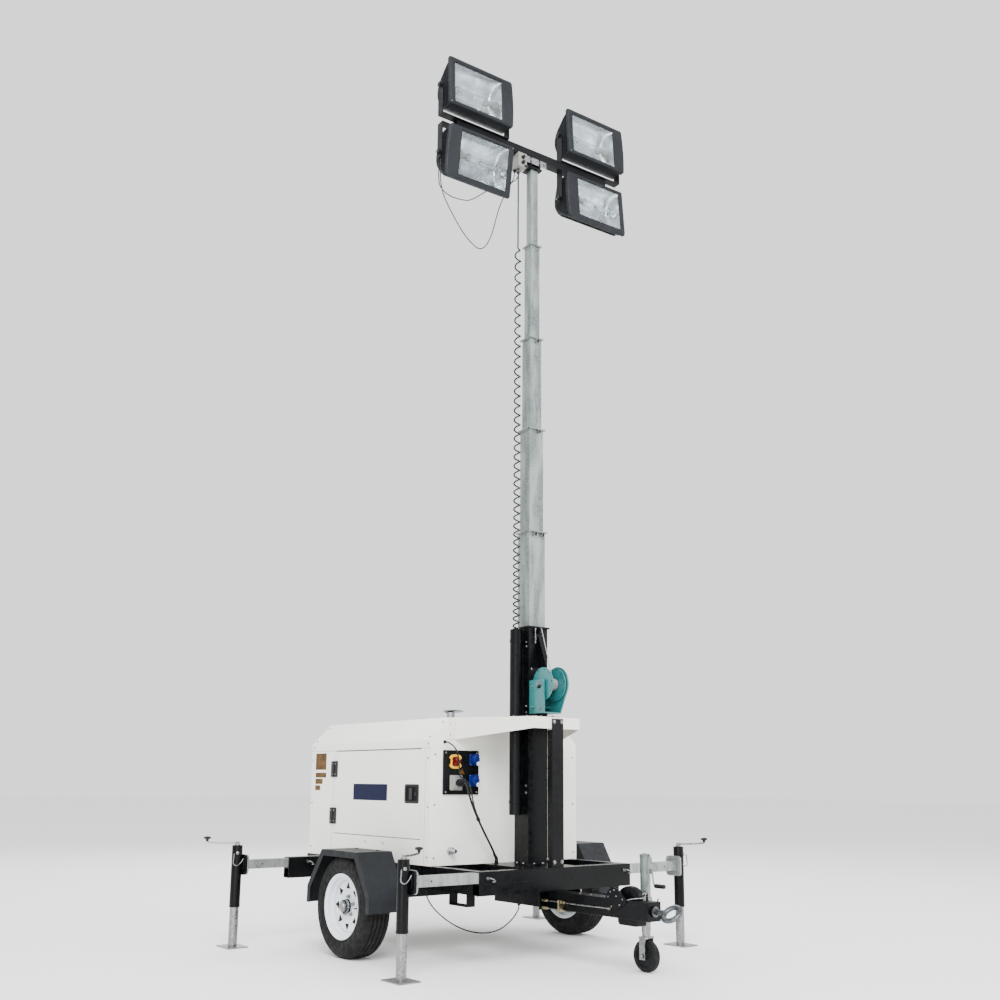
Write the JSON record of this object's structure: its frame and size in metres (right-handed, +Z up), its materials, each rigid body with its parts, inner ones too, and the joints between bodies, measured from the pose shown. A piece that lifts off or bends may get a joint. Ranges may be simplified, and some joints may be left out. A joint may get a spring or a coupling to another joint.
{
  "type": "mobile light tower",
  "caption": "Towable light tower: canopied generator on a trailer with jacks on sliding arms and a turning, telescopic mast that carries tilting floodlights.",
  "frame": {"origin": "on the floor, on the centre plane, below the canopy's front wall, near the middle of the bounding box", "axes": "+X along the drawbar to the tow eye, +Y to the trailer's left, +Z up"},
  "size_m": [2.983, 2.9984, 5.9097],
  "materials": {
    "black_powder_coat": "satin powder coat",
    "black_fender_paint": "satin paint",
    "white_panel_paint": "semi-gloss powder coat",
    "white_wheel_paint": "gloss paint",
    "galvanised_steel": "zinc coated",
    "engine_castings": "dull cast metal",
    "panel_plastic": "matte moulded",
    "plug_plastic": "matte moulded",
    "teal_winch_paint": "gloss paint",
    "dark_bar_paint": "satin paint",
    "grey_box_plastic": "matte moulded",
    "black_cord_rubber": "matte",
    "tyre_rubber": "matte",
    "black_wheel_rubber": "matte",
    "lamp_casting": "painted die casting",
    "lamp_glass": "clear toughened glass"
  },
  "bodies": {
    "trailer": {"chassis": "black_powder_coat", "drawbar": "black_powder_coat", "handbrake": "black_powder_coat", "axle": "black_powder_coat", "fenders": "black_fender_paint", "canopy": "white_panel_paint", "roof": "white_panel_paint", "engine_block": "engine_castings", "control_panel": "panel_plastic", "exhaust": "galvanised_steel", "shelf": "white_panel_paint", "front_brace": "black_powder_coat", "jockey_tube": "galvanised_steel", "panel_lead": "black_cord_rubber", "lead_plug": "plug_plastic", "underbody_lead": "black_cord_rubber"},
    "eye": {"tow_eye": "galvanised_steel"},
    "right_door": {"door_right": "white_panel_paint"},
    "left_door": {"door_left": "white_panel_paint"},
    "right_wheel": {"tyre_right": "tyre_rubber", "rim_right": "white_wheel_paint"},
    "left_wheel": {"tyre_left": "tyre_rubber", "rim_left": "white_wheel_paint"},
    "jockey_leg": {"jockey_stem": "galvanised_steel"},
    "jockey_castor": {"jockey_fork": "galvanised_steel"},
    "jockey_roller": {"jockey_wheel": "black_wheel_rubber"},
    "front_right_arm": {"arm_front_right": "galvanised_steel"},
    "front_right_jack": {"jack_front_right": "black_powder_coat"},
    "front_right_leg": {"leg_front_right": "galvanised_steel"},
    "front_left_arm": {"arm_front_left": "galvanised_steel"},
    "front_left_jack": {"jack_front_left": "black_powder_coat"},
    "front_left_leg": {"leg_front_left": "galvanised_steel"},
    "rear_right_arm": {"arm_rear_right": "galvanised_steel"},
    "rear_right_jack": {"jack_rear_right": "black_powder_coat"},
    "rear_right_leg": {"leg_rear_right": "galvanised_steel"},
    "rear_left_arm": {"arm_rear_left": "galvanised_steel"},
    "rear_left_jack": {"jack_rear_left": "black_powder_coat"},
    "rear_left_leg": {"leg_rear_left": "galvanised_steel"},
    "mast": {"mast_base": "black_powder_coat", "winch_frame": "teal_winch_paint", "spiral_cord": "black_cord_rubber"},
    "winch": {"winch_drum": "galvanised_steel"},
    "section_1": {"mast_section_1": "galvanised_steel"},
    "section_2": {"mast_section_2": "galvanised_steel"},
    "section_3": {"mast_section_3": "galvanised_steel"},
    "section_4": {"mast_section_4": "galvanised_steel"},
    "section_5": {"mast_section_5": "galvanised_steel", "light_bar": "dark_bar_paint", "head_box": "grey_box_plastic", "lamp_lead_long": "black_cord_rubber", "lamp_lead_short": "black_cord_rubber"},
    "upper_right_lamp": {"lamp_upper_right": "lamp_casting", "glass_upper_right": "lamp_glass"},
    "lower_right_lamp": {"lamp_lower_right": "lamp_casting", "glass_lower_right": "lamp_glass"},
    "upper_left_lamp": {"lamp_upper_left": "lamp_casting", "glass_upper_left": "lamp_glass"},
    "lower_left_lamp": {"lamp_lower_left": "lamp_casting", "glass_lower_left": "lamp_glass"}
  },
  "joints": [
    {"name": "eye_turn", "type": "hinge", "parent": "trailer", "child": "eye", "pos_m": [1.3, 0, 0.364], "axis": [1, 0, 0], "continuous": true},
    {"name": "right_door_open", "type": "hinge", "parent": "trailer", "child": "right_door", "pos_m": [-1.163, -0.625, 0.98], "axis": [0, 0, -1], "range_deg": [0, 120]},
    {"name": "left_door_open", "type": "hinge", "parent": "trailer", "child": "left_door", "pos_m": [-1.163, 0.625, 0.98], "axis": [0, 0, 1], "range_deg": [0, 120]},
    {"name": "right_wheel_spin", "type": "hinge", "parent": "trailer", "child": "right_wheel", "pos_m": [-0.375, -0.918, 0.307], "axis": [0, 1, 0], "continuous": true},
    {"name": "left_wheel_spin", "type": "hinge", "parent": "trailer", "child": "left_wheel", "pos_m": [-0.375, 0.918, 0.307], "axis": [0, 1, 0], "continuous": true},
    {"name": "jockey_lift", "type": "slide", "parent": "trailer", "child": "jockey_leg", "axis": [0, 0, 1], "range_m": [-0.1, 0.1]},
    {"name": "jockey_steer", "type": "hinge", "parent": "jockey_leg", "child": "jockey_castor", "pos_m": [1.06, 0.172, 0.2], "axis": [0, 0, 1], "continuous": true},
    {"name": "jockey_spin", "type": "hinge", "parent": "jockey_castor", "child": "jockey_roller", "pos_m": [1.06, 0.172, 0.09], "axis": [0, 1, 0], "continuous": true},
    {"name": "front_right_arm_slide", "type": "slide", "parent": "trailer", "child": "front_right_arm", "axis": [0, 1, 0], "range_m": [0, 0.425]},
    {"name": "front_right_jack_swivel", "type": "hinge", "parent": "front_right_arm", "child": "front_right_jack", "pos_m": [0.47, -1.079, 0.517], "axis": [0, 1, 0], "range_deg": [0, 90]},
    {"name": "front_right_leg_wind", "type": "slide", "parent": "front_right_jack", "child": "front_right_leg", "axis": [0, 0, 1], "range_m": [-0.08, 0.23]},
    {"name": "front_left_arm_slide", "type": "slide", "parent": "trailer", "child": "front_left_arm", "axis": [0, -1, 0], "range_m": [0, 0.425]},
    {"name": "front_left_jack_swivel", "type": "hinge", "parent": "front_left_arm", "child": "front_left_jack", "pos_m": [0.47, 1.079, 0.517], "axis": [0, 1, 0], "range_deg": [0, 90]},
    {"name": "front_left_leg_wind", "type": "slide", "parent": "front_left_jack", "child": "front_left_leg", "axis": [0, 0, 1], "range_m": [-0.08, 0.23]},
    {"name": "rear_right_arm_slide", "type": "slide", "parent": "trailer", "child": "rear_right_arm", "axis": [0, 1, 0], "range_m": [0, 0.29]},
    {"name": "rear_right_jack_swivel", "type": "hinge", "parent": "rear_right_arm", "child": "rear_right_jack", "pos_m": [-1.208, -1.261, 0.517], "axis": [0, 1, 0], "range_deg": [0, 90]},
    {"name": "rear_right_leg_wind", "type": "slide", "parent": "rear_right_jack", "child": "rear_right_leg", "axis": [0, 0, 1], "range_m": [-0.08, 0.23]},
    {"name": "rear_left_arm_slide", "type": "slide", "parent": "trailer", "child": "rear_left_arm", "axis": [0, -1, 0], "range_m": [0, 0.29]},
    {"name": "rear_left_jack_swivel", "type": "hinge", "parent": "rear_left_arm", "child": "rear_left_jack", "pos_m": [-1.208, 1.261, 0.517], "axis": [0, 1, 0], "range_deg": [0, 90]},
    {"name": "rear_left_leg_wind", "type": "slide", "parent": "rear_left_jack", "child": "rear_left_leg", "axis": [0, 0, 1], "range_m": [-0.08, 0.23]},
    {"name": "mast_turn", "type": "hinge", "parent": "trailer", "child": "mast", "pos_m": [0.239, 0, 1], "axis": [0, 0, 1], "range_deg": [-170, 170]},
    {"name": "winch_turn", "type": "hinge", "parent": "mast", "child": "winch", "pos_m": [0.43238, -0.01556, 1.675], "axis": [0.0802, 0.9968, 0], "continuous": true},
    {"name": "section_1_lift", "type": "slide", "parent": "mast", "child": "section_1", "axis": [0, 0, 1], "range_m": [-0.6, 0.4112]},
    {"name": "section_2_lift", "type": "slide", "parent": "mast", "child": "section_2", "axis": [0, 0, 1], "range_m": [-1.27, 0.8696]},
    {"name": "section_3_lift", "type": "slide", "parent": "mast", "child": "section_3", "axis": [0, 0, 1], "range_m": [-1.882, 1.2884]},
    {"name": "section_4_lift", "type": "slide", "parent": "mast", "child": "section_4", "axis": [0, 0, 1], "range_m": [-2.534, 1.7346]},
    {"name": "mast_lift", "type": "slide", "parent": "mast", "child": "section_5", "axis": [0, 0, 1], "range_m": [-3.069, 2.1], "deforming": ["spiral_cord"]},
    {"name": "upper_right_lamp_tilt", "type": "hinge", "parent": "section_5", "child": "upper_right_lamp", "pos_m": [0.21321, -0.50757, 5.722], "axis": [0.0802, 0.9968, 0], "range_deg": [-80, 80]},
    {"name": "lower_right_lamp_tilt", "type": "hinge", "parent": "section_5", "child": "lower_right_lamp", "pos_m": [0.21321, -0.50757, 5.218], "axis": [0.0802, 0.9968, 0], "range_deg": [-80, 80]},
    {"name": "upper_left_lamp_tilt", "type": "hinge", "parent": "section_5", "child": "upper_left_lamp", "pos_m": [0.29469, 0.50516, 5.722], "axis": [0.0802, 0.9968, 0], "range_deg": [-80, 80]},
    {"name": "lower_left_lamp_tilt", "type": "hinge", "parent": "section_5", "child": "lower_left_lamp", "pos_m": [0.29469, 0.50516, 5.218], "axis": [0.0802, 0.9968, 0], "range_deg": [-80, 80]}
  ],
  "couplings": [
    {"joint": "section_1_lift", "follows": "mast_lift", "ratio": 0.19485},
    {"joint": "section_2_lift", "follows": "mast_lift", "ratio": 0.41316},
    {"joint": "section_3_lift", "follows": "mast_lift", "ratio": 0.61258},
    {"joint": "section_4_lift", "follows": "mast_lift", "ratio": 0.82502}
  ]
}
